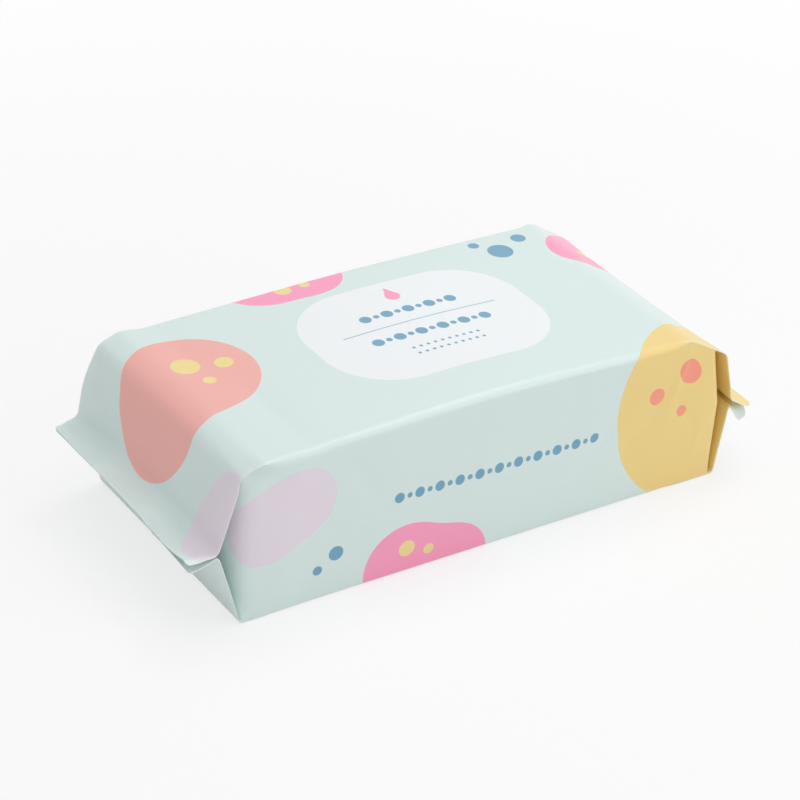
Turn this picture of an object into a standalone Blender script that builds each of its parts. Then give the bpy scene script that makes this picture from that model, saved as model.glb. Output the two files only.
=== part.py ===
"""Sealed soft pack of disposable face towels.

A tube of printed film is wrapped round a block of folded towels. At each end the side panels
tuck inwards between the top and bottom flaps, and the flaps meet in a crimped end fin near mid
height. The pack is closed all round, so film and towels are one solid.

The film is made as a flat grid, whose rows run along the pack and whose columns run round it,
and each grid point is then moved to its place on the wrapped pack. Units are metres.
X runs along the pack, -Y is its front, +Z is up and the origin is the middle of its footprint.
"""
import math
from typing import NamedTuple

import bmesh
import bpy
from mathutils import Vector

# Block of towels: 50 towels of 200 x 200 mm, folded once
PACK_LENGTH = 0.2000
PACK_WIDTH = 0.1016
PACK_HEIGHT = 0.0605

# Softness of the wrapped block
TOP_CROWN = 0.0018
TOP_DOME = 0.0008
SIDE_BULGE = 0.0008
TOP_EDGE_RADIUS = 0.0040
FOOT_EDGE_RADIUS = 0.0010
FOOT_END_RADIUS = 0.0020
POCKET_RADIUS = 0.0070

# End seams
SEAM_SAG = 0.0003
LIP_THICKNESS = 0.0006
SLIT = 0.0004
SPLIT_FADE = 3
FLAP_BEND_RADIUS = 0.0030
MATERIAL_COLOUR = (0.679, 0.791, 0.768, 1.0)

# Grid of the film
BODY_ROWS = 10
FLAP_ROWS = 10
FIN_ROWS = 3
MIDDLE_COLUMNS = 3
EDGE_SEGMENTS = 4
ARC_SEGMENTS = 12
ARC_ROOM = 0.45
BODY_ROW_CROWDING = 1.6
EDGE_SHARPENS_FROM = 0.8


class End(NamedTuple):
    """One end of the pack, measured outwards from the end of the footprint."""
    side: int
    shoulder_start: float
    shoulder_reach: float
    shoulder_drop: float
    shoulder_radius: float
    brow_radius: float
    seam_reach: float
    fin_length: float
    fin_droop: float
    fin_split: float


LEFT_END = End(
    side=-1, shoulder_start=-0.0075, shoulder_reach=-0.0002, shoulder_drop=0.0032,
    shoulder_radius=0.0080, brow_radius=0.0050, seam_reach=0.0090,
    fin_length=0.0098, fin_droop=math.radians(14), fin_split=0.0030,
)
RIGHT_END = End(
    side=1, shoulder_start=-0.0165, shoulder_reach=0.0008, shoulder_drop=0.0100,
    shoulder_radius=0.0120, brow_radius=0.0050, seam_reach=0.0048,
    fin_length=0.0112, fin_droop=math.radians(34), fin_split=0.0056,
)

# Film round the block, worked out from the sizes above
HALF_WIDTH = PACK_WIDTH / 2
GUSSET_DEPTH = PACK_HEIGHT / 2
SEAM_HEIGHT = PACK_HEIGHT / 2 - SEAM_SAG
LIP_RADIUS = LIP_THICKNESS / 2

# Stages along the film: the block, then the end flap from FOLD to SEAM, then the fin to TIP
FOLD, SEAM, TIP = 1.0, 2.0, 3.0
UPPER, LOWER = 1, -1
EDGE_RADII = {UPPER: TOP_EDGE_RADIUS, LOWER: FOOT_EDGE_RADIUS}


class Column(NamedTuple):
    """One line of the film along the pack, on the front half of its girth."""
    level: int
    zone: str
    share: float


def clamp(value, low=0.0, high=1.0):
    return max(low, min(high, value))


def smooth(value):
    value = clamp(value)
    return value * value * (3 - 2 * value)


def rounded_path(corners, radii):
    """Polyline through the corners, each inner corner replaced by an arc of its radius."""
    points = [corners[0]]
    for before, corner, after, radius in zip(corners, corners[1:], corners[2:], radii):
        back = (before - corner).normalized()
        ahead = (after - corner).normalized()
        half_angle = math.acos(clamp(back.dot(ahead), -1.0, 1.0)) / 2
        reach = radius / math.tan(half_angle)
        room = min((before - corner).length, (after - corner).length) * ARC_ROOM
        reach = min(reach, room)
        start, end = corner + back * reach, corner + ahead * reach
        for step in range(ARC_SEGMENTS + 1):
            share = step / ARC_SEGMENTS
            first = start.lerp(corner, share)
            points.append(first.lerp(corner.lerp(end, share), share))
    points.append(corners[-1])
    return points


class Path:
    """A rounded path whose distances are set out in stages, from the block to the fin's tip."""

    def __init__(self, corners, radii, seam_corner):
        self.points = rounded_path(corners, radii)
        self.distances = [0.0]
        for first, second in zip(self.points, self.points[1:]):
            self.distances.append(self.distances[-1] + (second - first).length)
        nearest = min(self.points, key=lambda point: (point - corners[seam_corner]).length)
        self.seam = self.distances[self.points.index(nearest)]

    def distance(self, stage):
        fold = self.seam - GUSSET_DEPTH
        if stage <= FOLD:
            return stage * fold
        if stage <= SEAM:
            return fold + (stage - FOLD) * GUSSET_DEPTH
        return self.seam + (stage - SEAM) * (self.distances[-1] - self.seam)

    def at(self, stage):
        """Point and direction of the path at a stage."""
        distance = self.distance(stage)
        for index in range(1, len(self.points)):
            if distance <= self.distances[index] or index == len(self.points) - 1:
                break
        start, end = self.points[index - 1], self.points[index]
        span = self.distances[index] - self.distances[index - 1]
        share = clamp((distance - self.distances[index - 1]) / span) if span else 0.0
        return start.lerp(end, share), (end - start).normalized()


class EndPaths:
    """The film's fold lines at one end: upper, lower and the crease inside the side pocket."""

    def __init__(self, end):
        self.end = end
        foot = PACK_LENGTH / 2
        seam_x = foot + end.seam_reach
        self.seam_base = Vector((seam_x, SEAM_HEIGHT))
        self.fin_way = Vector((math.cos(end.fin_droop), -math.sin(end.fin_droop)))
        self.fin_up = Vector((math.sin(end.fin_droop), math.cos(end.fin_droop)))
        self.shoulder_x = foot + end.shoulder_start
        upper = [
            Vector((0.0, PACK_HEIGHT)),
            Vector((self.shoulder_x, PACK_HEIGHT)),
            Vector((foot + end.shoulder_reach, PACK_HEIGHT - end.shoulder_drop)),
            self.fin_point(SEAM, UPPER, 0.0),
            self.fin_point(TIP, UPPER, 0.0),
        ]
        lower = [
            Vector((0.0, 0.0)),
            Vector((foot, 0.0)),
            self.fin_point(SEAM, LOWER, 0.0),
            self.fin_point(TIP, LOWER, 0.0),
        ]
        tip = self.seam_base + self.fin_way * end.fin_length
        pocket = [
            Vector((0.0, -HALF_WIDTH)),
            Vector((foot, -HALF_WIDTH)),
            Vector((seam_x, GUSSET_DEPTH - HALF_WIDTH)),
            Vector((tip.x, GUSSET_DEPTH - HALF_WIDTH)),
        ]
        self.folds = {
            UPPER: Path(upper, [end.shoulder_radius, end.brow_radius, FLAP_BEND_RADIUS], 3),
            LOWER: Path(lower, [FOOT_END_RADIUS, FLAP_BEND_RADIUS], 2),
        }
        self.pocket = Path(pocket, [POCKET_RADIUS, LIP_RADIUS], 2)

    def gap(self, stage, share):
        """Half the opening between the fin's upper and lower film, which closes inwards."""
        opening = SLIT + (self.end.fin_split - SLIT) * clamp(stage - SEAM)
        return opening / 2 * (1 - share) ** SPLIT_FADE

    def fin_point(self, stage, level, share):
        """Outer surface of the fin in side view, at a share of the gusset's depth."""
        along = self.fin_way * self.end.fin_length * (stage - SEAM)
        return self.seam_base + along + self.fin_up * level * (
            LIP_THICKNESS + self.gap(stage, share))

    def crown(self, x):
        return 1 - smooth(abs(x) / self.shoulder_x)

    def panel(self, level, stage, share):
        """Outer surface of the top or bottom in side view, and its outward normal."""
        point, way = self.folds[level].at(stage)
        normal = Vector((-way.y, way.x)) * level
        if stage > SEAM:
            return self.fin_point(stage, level, share), self.fin_up * level
        if level == UPPER:
            point = point + Vector((0.0, TOP_CROWN * self.crown(point.x)))
        return point, normal

    def edge_radius(self, level, stage):
        """Radius of a long edge, which sharpens to the film's own fold towards the ends."""
        sharpening = smooth((stage - EDGE_SHARPENS_FROM) / (FOLD - EDGE_SHARPENS_FROM))
        return EDGE_RADII[level] + (LIP_RADIUS - EDGE_RADII[level]) * sharpening

    def column_y(self, level, stage, share):
        """Distance from the middle of the pack, from the rounded edge in to the gusset's end."""
        radius = self.edge_radius(level, stage)
        return radius + (GUSSET_DEPTH - radius) * share - HALF_WIDTH

    def edge(self, level, stage, share):
        """Point on the rounded edge between the top or bottom and the side."""
        radius = self.edge_radius(level, stage)
        point, normal = self.panel(level, stage, 0.0)
        sweep = (math.pi / 2 if stage <= FOLD else math.pi) * share
        turned = point - normal * radius * (1 - math.cos(sweep))
        return Vector((turned.x, radius - HALF_WIDTH - radius * math.sin(sweep), turned.y))

    def gusset(self, level, stage, share):
        """Point on the side panel, and on the pocket that it folds into beyond the block."""
        tuck = clamp(stage - FOLD)
        crease, _ = self.pocket.at(stage)
        height = SEAM_HEIGHT
        if stage > SEAM:
            height = (self.seam_base + self.fin_way * self.end.fin_length * (stage - SEAM)).y
        deepest = Vector((crease.x, crease.y, height))
        if share >= 1.0:
            return deepest + self.bulge(deepest, 1.0)
        if stage > FOLD and share <= tuck:
            point, normal = self.panel(level, stage, share)
            under = point - normal * LIP_THICKNESS
            return Vector((under.x, self.column_y(level, stage, share), under.y))
        if tuck > 0.0:
            point, normal = self.panel(level, stage, tuck)
            under = point - normal * LIP_THICKNESS
            start = Vector((under.x, self.column_y(level, stage, tuck), under.y))
        else:
            start = self.edge(level, stage, 1.0)
        point = start.lerp(deepest, (share - tuck) / (1 - tuck))
        return point + self.bulge(point, share) * (1 - tuck)

    def bulge(self, point, share):
        return Vector((0.0, -SIDE_BULGE * self.crown(point.x) * math.sin(share * math.pi / 2), 0.0))

    def film_point(self, stage, column):
        """Place of one point of the film, on the front half, with X outwards."""
        level, zone, share = column
        if zone == "gusset":
            return self.gusset(level, stage, share)
        if zone == "edge":
            return self.edge(level, stage, share)
        if zone == "panel":
            y = self.column_y(level, stage, share)
            depth = share
        else:
            y = (GUSSET_DEPTH - HALF_WIDTH) * share
            depth = 1.0
        point, _ = self.panel(level, stage, depth)
        height = point.y
        if level == UPPER:
            height += TOP_DOME * self.crown(point.x) * (1 - (y / HALF_WIDTH) ** 2)
        return Vector((point.x, y, height))


def half_columns():
    """Columns of the film from the middle of the underside, round the front, to the top's middle."""
    flap_shares = [index / FLAP_ROWS for index in range(FLAP_ROWS + 1)]
    middle_shares = [index / MIDDLE_COLUMNS for index in range(MIDDLE_COLUMNS)]
    edge_shares = [index / EDGE_SEGMENTS for index in range(1, EDGE_SEGMENTS)]
    columns = [Column(LOWER, "middle", share) for share in middle_shares]
    columns += [Column(LOWER, "panel", share) for share in reversed(flap_shares)]
    columns += [Column(LOWER, "edge", share) for share in edge_shares]
    columns += [Column(LOWER, "gusset", share) for share in flap_shares]
    columns += [Column(UPPER, "gusset", share) for share in reversed(flap_shares[:-1])]
    columns += [Column(UPPER, "edge", share) for share in reversed(edge_shares)]
    columns += [Column(UPPER, "panel", share) for share in flap_shares]
    columns += [Column(UPPER, "middle", share) for share in reversed(middle_shares)]
    return columns


def end_stages():
    """Stages of the film's rows from the pack's middle to the tip of one fin."""
    body = [1 - (1 - row / BODY_ROWS) ** BODY_ROW_CROWDING for row in range(1, BODY_ROWS + 1)]
    flap = [FOLD + row / FLAP_ROWS for row in range(1, FLAP_ROWS + 1)]
    fin = [SEAM + row / FIN_ROWS for row in range(1, FIN_ROWS + 1)]
    return body + flap + fin


def film_rows():
    """Every row of the film, from the left fin's tip to the right fin's tip."""
    left, right = EndPaths(LEFT_END), EndPaths(RIGHT_END)
    stages = end_stages()
    rows = [(left, stage) for stage in reversed(stages)]
    rows.append((right, 0.0))
    return rows + [(right, stage) for stage in stages]


def ring(paths, stage, columns):
    """All points of one row: the front half, then its mirror image back to the underside."""
    front = []
    for column in columns:
        point = paths.film_point(stage, column)
        front.append(Vector((point.x * paths.end.side, point.y, point.z)))
    back = [Vector((point.x, -point.y, point.z)) for point in reversed(front[1:-1])]
    return front + back


def fin_faces(columns):
    """Faces, as lists of columns, that close the tip of a fin's front half.

    The film lies in two pairs of layers as deep as the gusset, and in one pair in the middle.
    """
    shares = [index / FLAP_ROWS for index in range(FLAP_ROWS + 1)]
    crease = Column(LOWER, "gusset", 1.0)
    for level in (UPPER, LOWER):
        for outer, inner in zip(shares, shares[1:]):
            yield [
                Column(level, "panel", outer),
                Column(level, "panel", inner),
                crease if inner == 1.0 else Column(level, "gusset", inner),
                Column(level, "gusset", outer),
            ]
        yield [
            column for column in columns
            if column.level == level and (column.zone == "edge" or column.share == 0.0)
            and column.zone != "middle"
        ]
    shares = [index / MIDDLE_COLUMNS for index in range(MIDDLE_COLUMNS)]
    for inner, outer in zip(shares, shares[1:]):
        yield [
            Column(UPPER, "middle", inner),
            Column(UPPER, "middle", outer),
            Column(LOWER, "middle", outer),
            Column(LOWER, "middle", inner),
        ]
    yield [
        Column(UPPER, "middle", shares[-1]),
        Column(UPPER, "panel", 1.0),
        crease,
        Column(LOWER, "panel", 1.0),
        Column(LOWER, "middle", shares[-1]),
    ]


def close_fin(mesh, loop, columns):
    """Close the open tip of a fin; the back half's columns run the other way round the loop."""
    place = {column: index for index, column in enumerate(columns)}
    for turn in (1, -1):
        for face in fin_faces(columns):
            mesh.faces.new([loop[turn * place[column] % len(loop)] for column in face])


def build_pack_mesh():
    columns = half_columns()
    rows = film_rows()
    rings = [ring(paths, stage, columns) for paths, stage in rows]
    around = len(rings[0])
    mesh = bmesh.new()
    bmesh.ops.create_grid(mesh, x_segments=len(rows) - 1, y_segments=around, size=0.5)
    grid = {}
    for vertex in mesh.verts:
        row = round((vertex.co.x + 0.5) * (len(rows) - 1))
        column = round((vertex.co.y + 0.5) * around)
        grid[row, column] = vertex
    for (row, column), vertex in grid.items():
        vertex.co = rings[row][column % around]
    join = {grid[row, around]: grid[row, 0] for row in range(len(rows))}
    bmesh.ops.weld_verts(mesh, targetmap=join)
    for row in (0, len(rows) - 1):
        close_fin(mesh, [grid[row, column] for column in range(around)], columns)
    bmesh.ops.recalc_face_normals(mesh, faces=mesh.faces)
    bmesh.ops.triangulate(mesh, faces=mesh.faces, quad_method="SHORT_EDGE")
    return mesh


def film_material():
    material = bpy.data.materials.new("printed_film")
    material.use_nodes = True
    shader = material.node_tree.nodes["Principled BSDF"]
    shader.inputs["Base Color"].default_value = MATERIAL_COLOUR
    shader.inputs["Roughness"].default_value = 0.45
    shader.inputs["Metallic"].default_value = 0.0
    return material


def add_towel_pack():
    mesh = build_pack_mesh()
    data = bpy.data.meshes.new("towel_pack")
    mesh.to_mesh(data)
    mesh.free()
    data.materials.append(film_material())
    data.shade_smooth()
    data.set_sharp_from_angle(angle=math.radians(50))
    pack = bpy.data.objects.new("towel_pack", data)
    bpy.context.collection.objects.link(pack)
    return pack


def main():
    for existing in list(bpy.data.objects):
        bpy.data.objects.remove(existing)
    add_towel_pack()


main()
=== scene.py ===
"""Looks of the sealed pack of face towels: printed film, back seam, stage, lights and camera."""
import bisect
import math
from typing import NamedTuple

import bmesh
import bpy
from bpy.props import FloatProperty, FloatVectorProperty, PointerProperty
from mathutils import Matrix, Vector, noise


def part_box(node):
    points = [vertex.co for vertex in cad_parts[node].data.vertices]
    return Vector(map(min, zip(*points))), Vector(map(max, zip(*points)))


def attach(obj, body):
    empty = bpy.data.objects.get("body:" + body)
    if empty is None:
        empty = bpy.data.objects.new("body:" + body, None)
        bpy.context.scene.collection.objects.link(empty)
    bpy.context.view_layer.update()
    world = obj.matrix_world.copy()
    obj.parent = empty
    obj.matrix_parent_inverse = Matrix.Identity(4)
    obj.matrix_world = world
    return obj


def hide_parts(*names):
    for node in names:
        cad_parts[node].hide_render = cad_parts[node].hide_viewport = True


bl_info = {
    "name": "Face towel pack",
    "version": (1, 0, 0),
    "blender": (4, 5, 0),
    "location": "3D View > Sidebar > Towel Pack",
    "description": "Models a sealed soft pack of face towels in printed film",
    "category": "Add Mesh",
}

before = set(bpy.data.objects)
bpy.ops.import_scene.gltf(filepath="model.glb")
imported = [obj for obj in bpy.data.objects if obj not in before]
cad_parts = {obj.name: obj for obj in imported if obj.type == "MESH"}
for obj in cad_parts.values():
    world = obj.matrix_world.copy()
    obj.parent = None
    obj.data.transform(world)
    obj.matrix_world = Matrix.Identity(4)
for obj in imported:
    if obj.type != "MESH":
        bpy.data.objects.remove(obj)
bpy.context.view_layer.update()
PACK_NODE = "towel_pack"
PACK_LOW, PACK_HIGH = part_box(PACK_NODE)
MM = 0.001

# Softness of the wrapped block
TOP_CROWN = 1.8 * MM
TOP_DOME = 1.0 * MM
DOME_POWER = 5
SIDE_BULGE = 0.8 * MM
TOP_EDGE_RADIUS = 2.6 * MM
FOOT_EDGE_RADIUS = 1.2 * MM
FOOT_END_RADIUS = 2.0 * MM

# End flaps and fins
SEAM_SAG = 0.3 * MM
SLIT = 0.25 * MM
FLAP_BEND_RADIUS = 1.7 * MM
SOFT_BEND_RADIUS = 3.4 * MM
SOFT_SHOULDER_RADIUS = 15.0 * MM
SOFTENS_OVER = 22.0 * MM
CORNER_FACET = 0.085
EARLY_SAG = 0.6

# How the long edges sharpen and fold over, in stages and rows
EDGE_SHARPENS_OVER = 0.08
FULL_FOLD_ROWS = 2

# How the side panels turn into the pockets
GUSSET_ROUNDING_SPAN = 0.5
GUSSET_ROUNDING_FADE = 0.25
LEAST_ROUNDING = 0.1 * MM
ROUNDING_SAMPLES = 4

# Stages where the film slackens, where the crimp sets in and where the side panels calm down
SLACK_FROM, SLACK_OVER, LEAST_SLACK = 0.78, 0.3, 0.12
CRIMP_OVER = 0.1
PANEL_CALMS_FROM, PANEL_CALMS_OVER = 0.93, 0.07

# Waves in the flaps and fins, and in the side panels: coarse noise with finer noise on it
RIPPLE_PER_METRE, RIPPLE_PER_STAGE, RIPPLE_SEED = 38, 0.9, 4.7
RIPPLE_DEPTHS, RIPPLE_FINENESS = (0.9 * MM, 0.35 * MM), 2.7
LOWER_RIPPLE_DELAY = 0.25
PANEL_WAVES_PER_METRE, PANEL_WAVE_SEED = 30, 3.1
PANEL_WAVE_DEPTHS, PANEL_WAVE_FINENESS = (0.35 * MM, 0.14 * MM), 2.3
PANEL_WAVE_FOOT, PANEL_WAVE_HEAD = 6 * MM, 2 * MM

# Grid of the film, and the angle above which a fold stays sharp in the shading
BODY_ROWS = 80
FLAP_ROWS = 28
FIN_ROWS = 10
MIDDLE_COLUMNS = 16
EDGE_SEGMENTS = 6
ARC_SEGMENTS = 16
ARC_ROOM = 0.45
BODY_ROW_CROWDING = 1.25
SHARP_ANGLE = math.radians(48)

# The seam under the pack, which lifts the film's underside by the layer that it fills, less a
# little so that it stays clear of the film
SEAM_LAYER = 0.22 * MM
SEAM_THICKNESS = SEAM_LAYER * 0.95
SEAM_SLACK = 0.5
SEAM_COLUMNS = 8
FOOTING_FADE = 4.0 * MM

# Stages along the film: the block, then the end flap from FOLD to SEAM, then the fin to TIP
FOLD, SEAM, TIP = 1.0, 2.0, 3.0
UPPER, LOWER = 1, -1
EDGE_RADII = {UPPER: TOP_EDGE_RADIUS, LOWER: FOOT_EDGE_RADIUS}


class End(NamedTuple):
    """One end of the pack, measured outwards from the end of the footprint, in metres."""
    side: int
    shoulder_start: float
    shoulder_reach: float
    shoulder_drop: float
    shoulder_radius: float
    brow_radius: float
    seam_reach: float
    fin_length: float
    fin_droop: float
    upper_lift: float
    lower_lift: float
    late_fold: float
    fin_corner: float
    split_fade: float
    sharp_from: float
    back_upper_lift: float
    back_lower_lift: float
    corner_drop: float
    pocket_radius: float
    side_rounding: float


LEFT_END = End(
    side=-1, shoulder_start=-7.5 * MM, shoulder_reach=-0.2 * MM, shoulder_drop=3.2 * MM,
    shoulder_radius=8.0 * MM, brow_radius=5.0 * MM, seam_reach=8.5 * MM,
    fin_length=10.2 * MM, fin_droop=math.radians(9),
    upper_lift=3.2 * MM, lower_lift=-1.4 * MM, late_fold=0.0,
    fin_corner=0.6 * MM, split_fade=3, sharp_from=0.86,
    back_upper_lift=-0.4 * MM, back_lower_lift=-0.7 * MM, corner_drop=1.8 * MM,
    pocket_radius=7.0 * MM, side_rounding=6.0 * MM,
)
RIGHT_END = End(
    side=1, shoulder_start=-16.5 * MM, shoulder_reach=0.8 * MM, shoulder_drop=10.0 * MM,
    shoulder_radius=12.0 * MM, brow_radius=5.0 * MM, seam_reach=4.8 * MM,
    fin_length=12.9 * MM, fin_droop=math.radians(24),
    upper_lift=-1.0 * MM, lower_lift=-6.2 * MM, late_fold=3.4 * MM,
    fin_corner=4.0 * MM, split_fade=6, sharp_from=0.79,
    back_upper_lift=-0.6 * MM, back_lower_lift=-1.6 * MM, corner_drop=0.0,
    pocket_radius=4.0 * MM, side_rounding=2.0 * MM,
)


class Press(NamedTuple):
    """A soft push on the film in mm: its centre, its reach, its tilt in side view and the push."""
    centre: tuple
    reach: tuple
    tilt: float
    push: tuple
    crisp: bool = False


PRESSES = (
    # Fuller back of the left end, fuller top at the right of the back, and a fin cut askew
    Press((-104, 44, 45), (11, 34, 13), 0, (-2.1, 0, 0.5)),
    Press((76, 44, 61), (46, 32, 16), 0, (0, 0.3, 1.3)),
    Press((-119, -51, 29), (8, 26, 8), 0, (-1.1, 0, 0)),
    Press((-119, 51, 29), (8, 40, 8), 0, (0.6, 0, 0)),
    # Hollows where the front panel tucks in under its top corners
    Press((-90, -51, 52), (9, 9, 6), 20, (0, 1.1, 0)),
    Press((-95, -51, 56.4), (5.5, 6, 2.4), 20, (0, 2.7, 0)),
    Press((-90.5, -51, 60.4), (2.4, 5, 1.6), 20, (0, -0.6, 0.3)),
    Press((86, -51, 49), (11, 9, 6), -22, (0, 0.7, 0)),
    Press((87, -51, 57.5), (9, 6, 3.2), -28, (0, 1.2, 0)),
    # Full column of film beside the left pocket
    Press((-84, -51, 24), (7, 9, 24), 0, (0, -0.7, 0)),
    # Creases in the right of the front panel, from its top corner and across its middle
    Press((80, -51, 46), (11, 9, 1.8), 70, (0, -0.8, 0), True),
    Press((72, -51, 37), (11, 9, 1.8), 60, (0, 0.75, 0), True),
    Press((83, -51, 32), (9, 9, 1.8), -56, (0, 0.7, 0), True),
    Press((61, -51, 25), (12, 9, 2.4), 50, (0, 0.65, 0), True),
    Press((90, -51, 18), (9, 9, 2.4), 74, (0, -0.6, 0), True),
    Press((48, -51, 32), (18, 9, 3.6), 48, (0, 0.5, 0)),
    Press((-52, -51, 42), (16, 9, 4), -55, (0, 0.45, 0)),
    # The same kinds of hollow and crease in the back panel
    Press((-88, 51, 51), (9, 9, 6), 22, (0, -1.2, 0)),
    Press((84, 51, 50), (11, 9, 6), -20, (0, -1.3, 0)),
    Press((-78, 51, 44), (11, 9, 1.8), -68, (0, 0.5, 0), True),
    Press((-66, 51, 33), (12, 9, 2.2), 58, (0, -0.4, 0), True),
    Press((74, 51, 34), (12, 9, 2.2), -54, (0, -0.4, 0), True),
    Press((-42, 51, 34), (18, 9, 3.6), 62, (0, -0.35, 0)),
    Press((30, 51, 38), (20, 9, 4), -58, (0, -0.35, 0)),
    # Dents and soft folds in the end flaps, where the gussets draw them in
    Press((103, -24, 43), (7, 13, 7), -76, (-0.9, 0, 0)),
    Press((103, 27, 44), (7, 11, 8), -76, (-0.8, 0, 0)),
    Press((104, 6, 38), (7, 9, 7), -76, (0.5, 0, 0)),
    Press((-104, -30, 40), (6, 9, 8), 76, (0.7, 0, 0)),
    Press((-105, -8, 40), (6, 12, 8), 76, (-0.5, 0, 0)),
    Press((-105, 20, 40), (6, 10, 8), 76, (0.6, 0, 0)),
    Press((102, 22, 15), (7, 12, 7), 80, (-0.6, 0, 0)),
    Press((-102, -22, 14), (7, 14, 7), -80, (0.5, 0, 0)),
    # Faint valleys across the top behind the left shoulder
    Press((-72, -20, 63), (5, 34, 20), 0, (0, 0, -0.5)),
    Press((-80, 22, 62), (5, 24, 20), 0, (0, 0, -0.4)),
)


def length_property(name, description, size):
    return FloatProperty(name=name, description=description, default=size, unit="LENGTH")


class WrapSizes(bpy.types.PropertyGroup):
    """Sizes of the wrapped block and of its film."""
    length: length_property("Length", "Length of the pack's footprint", 200.0 * MM)
    width: length_property(
        "Width", "Width of the block across its side panels",
        PACK_HIGH[1] - PACK_LOW[1] - 2 * SIDE_BULGE)
    height: length_property(
        "Height", "Height of the block at its ends", PACK_HIGH[2] - TOP_CROWN - TOP_DOME)
    lip: length_property(
        "Lip thickness", "Two layers of film folded or sealed together", 0.36 * MM)
    seam_width: length_property(
        "Back seam width", "Width of the seam that lies along the underside", 11.0 * MM)


def rgb_from_hex(code):
    """Linear colour from an sRGB hex value such as d7e6e3."""
    channels = [int(code[start:start + 2], 16) / 255 for start in (0, 2, 4)]
    return tuple(
        channel / 12.92 if channel <= 0.04045 else ((channel + 0.055) / 1.055) ** 2.4
        for channel in channels
    )


def colour_property(name, description, code):
    return FloatVectorProperty(
        name=name, description=description, subtype="COLOR", size=3, min=0.0, max=1.0,
        default=rgb_from_hex(code))


class WrapColours(bpy.types.PropertyGroup):
    """Colours of the printed film."""
    mint: colour_property("Mint", "Ground of the print", "d9e9e6")
    white: colour_property("White", "Label on the top", "eff3f5")
    yellow: colour_property("Yellow", "Large warm field", "f1d58a")
    salmon: colour_property("Salmon", "Large soft red field", "f3b3aa")
    pink: colour_property("Pink", "Bright fields", "fd9fc2")
    coral: colour_property("Coral", "Dots on the yellow field", "fa9b82")
    butter: colour_property("Butter", "Dots on the pink and salmon fields", "f1dc94")
    lilac: colour_property("Lilac", "Pale fields", "e6dce6")
    blue: colour_property("Blue", "Rule and small dots", "6fa5c0")


def clamp(value, low=0.0, high=1.0):
    return max(low, min(high, value))


def smooth(value):
    value = clamp(value)
    return value * value * (3 - 2 * value)


def shares(count):
    """Even shares from 0 up to 1."""
    return [index / count for index in range(count + 1)]


def waves(seed, depths, fineness):
    """Coarse noise of one depth with finer noise of another depth on it."""
    return noise.noise(seed) * depths[0] + noise.noise(seed * fineness) * depths[1]


def rounded_path(corners, radii):
    """Polyline through the corners, each inner corner replaced by an arc of its radius."""
    points = [corners[0]]
    for before, corner, after, radius in zip(corners, corners[1:], corners[2:], radii):
        back = (before - corner).normalized()
        ahead = (after - corner).normalized()
        half_angle = math.acos(clamp(back.dot(ahead), -1.0, 1.0)) / 2
        reach = radius / math.tan(half_angle)
        room = min((before - corner).length, (after - corner).length) * ARC_ROOM
        reach = min(reach, room)
        start, end = corner + back * reach, corner + ahead * reach
        for step in range(ARC_SEGMENTS + 1):
            share = step / ARC_SEGMENTS
            first = start.lerp(corner, share)
            points.append(first.lerp(corner.lerp(end, share), share))
    points.append(corners[-1])
    return points


class Path:
    """A rounded path whose distances are set out in stages, from the block to the fin's tip."""

    def __init__(self, corners, radii, seam_corner, gusset_depth):
        self.gusset_depth = gusset_depth
        self.points = rounded_path(corners, radii)
        self.distances = [0.0]
        for first, second in zip(self.points, self.points[1:]):
            self.distances.append(self.distances[-1] + (second - first).length)
        nearest = min(self.points, key=lambda point: (point - corners[seam_corner]).length)
        self.seam = self.distances[self.points.index(nearest)]
        self.known = {}

    def distance(self, stage):
        fold = self.seam - self.gusset_depth
        if stage <= FOLD:
            return stage * fold
        if stage <= SEAM:
            return fold + (stage - FOLD) * self.gusset_depth
        return self.seam + (stage - SEAM) * (self.distances[-1] - self.seam)

    def at(self, stage):
        """Point and direction of the path at a stage."""
        if stage not in self.known:
            distance = self.distance(stage)
            found = bisect.bisect_left(self.distances, distance)
            index = clamp(found, 1, len(self.points) - 1)
            start, end = self.points[index - 1], self.points[index]
            span = self.distances[index] - self.distances[index - 1]
            share = clamp((distance - self.distances[index - 1]) / span) if span else 0.0
            self.known[stage] = start.lerp(end, share), (end - start).normalized()
        return self.known[stage]


class Column(NamedTuple):
    """One line of the film along the pack, on the front half of its girth."""
    level: int
    zone: str
    share: float


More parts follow.
